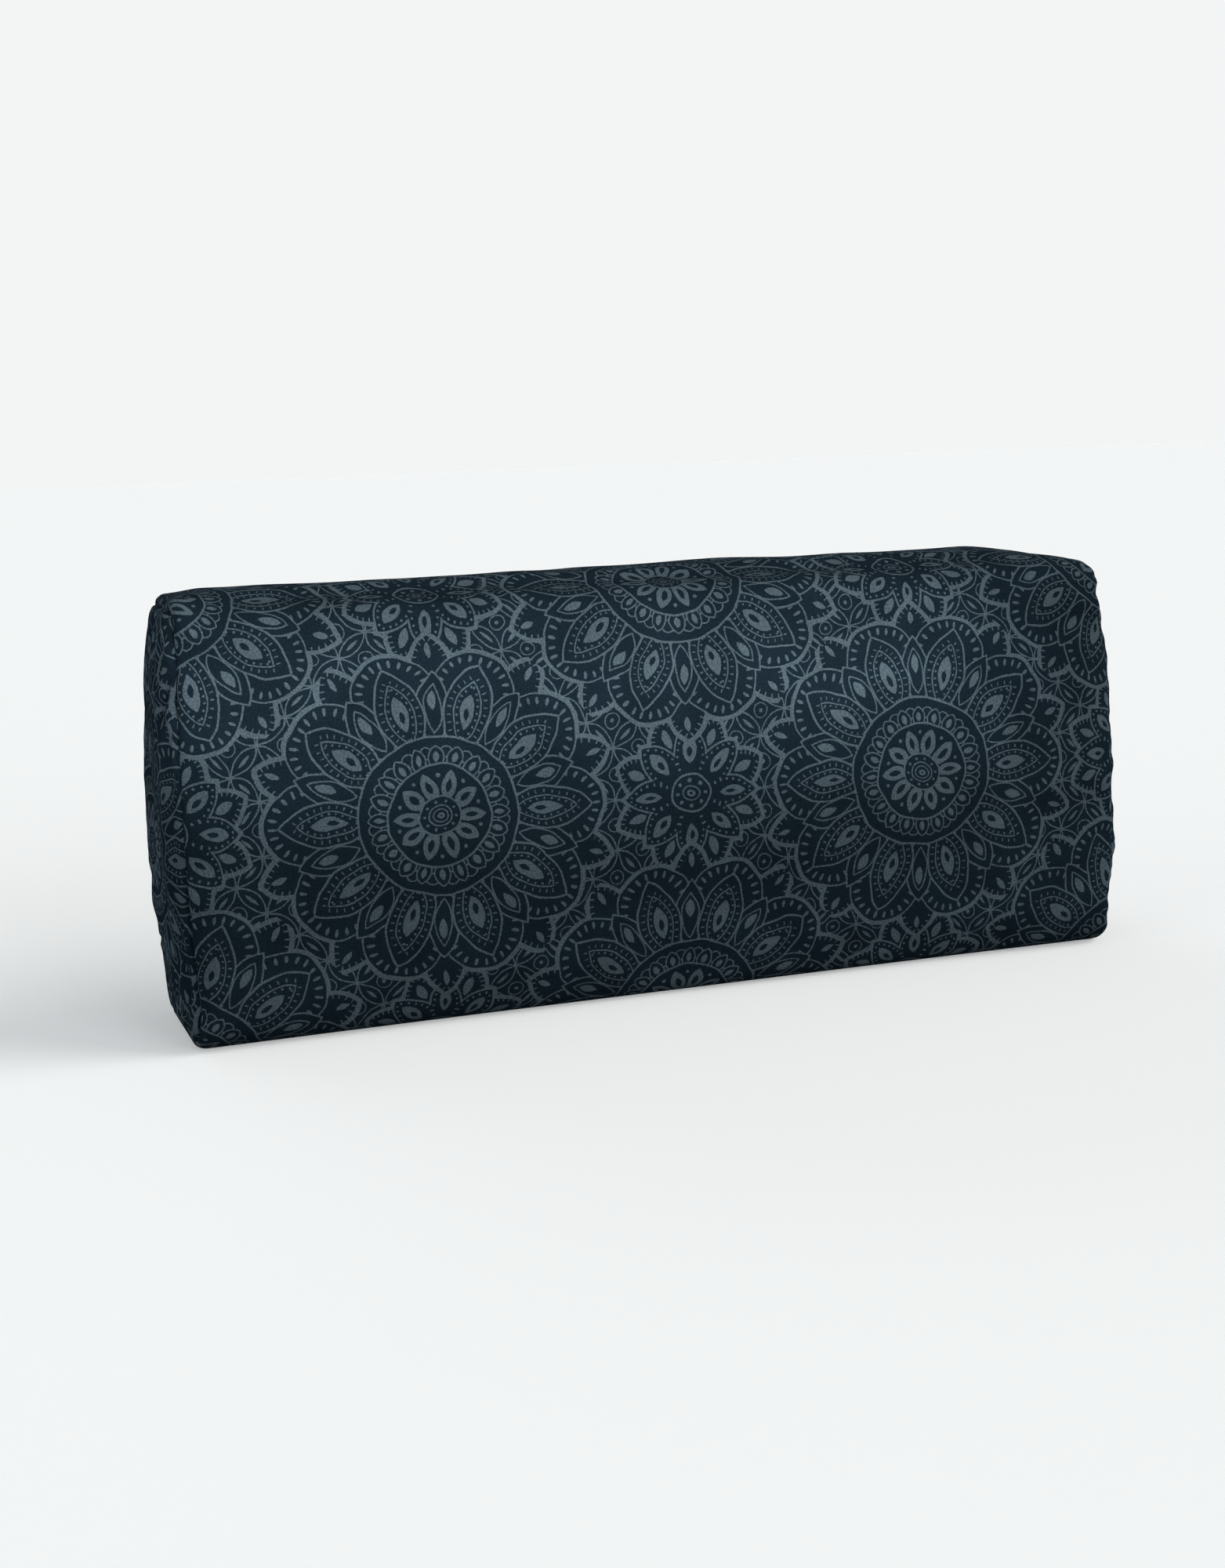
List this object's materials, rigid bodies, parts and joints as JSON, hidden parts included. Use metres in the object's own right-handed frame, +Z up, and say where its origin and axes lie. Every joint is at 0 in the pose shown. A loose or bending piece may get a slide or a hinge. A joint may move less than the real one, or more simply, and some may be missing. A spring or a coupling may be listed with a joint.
{
  "type": "yoga bolster",
  "caption": "Rectangular padded yoga bolster in a printed suede cover with rounded edges, puffed end panels and a zip low on the back, standing on its long narrow side.",
  "frame": {"origin": "middle of the footprint, at the surface that the bolster stands on", "axes": "+X along the bolster, +Y from the front face to the zipped back, +Z up"},
  "size_m": [0.66, 0.15, 0.28],
  "materials": {
    "printed_suede": "brushed matte",
    "cotton_liner": "plain weave",
    "cotton_batting": "carded",
    "firm_foam": "open cell",
    "moulded_teeth": "satin",
    "woven_tape": "fine twill",
    "enamelled_zinc": "satin enamel"
  },
  "bodies": {
    "cushion": {"cover_wrap": "printed_suede", "end_panel_left": "printed_suede", "end_panel_right": "printed_suede", "liner_wrap": "cotton_liner", "liner_end_left": "cotton_liner", "liner_end_right": "cotton_liner", "batting_wrap": "cotton_batting", "batting_end_left": "cotton_batting", "batting_end_right": "cotton_batting", "foam_slab_1": "firm_foam", "foam_slab_2": "firm_foam", "foam_slab_3": "firm_foam", "zip_teeth_upper": "moulded_teeth", "zip_teeth_lower": "moulded_teeth", "zip_tape_upper": "woven_tape", "zip_tape_lower": "woven_tape", "zip_top_stop_upper": "enamelled_zinc", "zip_top_stop_lower": "enamelled_zinc", "zip_bottom_stop": "enamelled_zinc"},
    "slider": {"zip_slider": "enamelled_zinc"},
    "pull_tab": {"zip_pull_tab": "enamelled_zinc"}
  },
  "joints": [
    {"name": "zip_slide", "type": "slide", "parent": "cushion", "child": "slider", "axis": [-1, 0, 0], "range_m": [0, 0.4725], "deforming": ["zip_teeth_upper", "zip_teeth_lower"]},
    {"name": "pull_tab_hinge", "type": "hinge", "parent": "slider", "child": "pull_tab", "pos_m": [0.2388, 0.06695, 0.052], "axis": [0, 0, -1], "range_deg": [0, 180]}
  ]
}
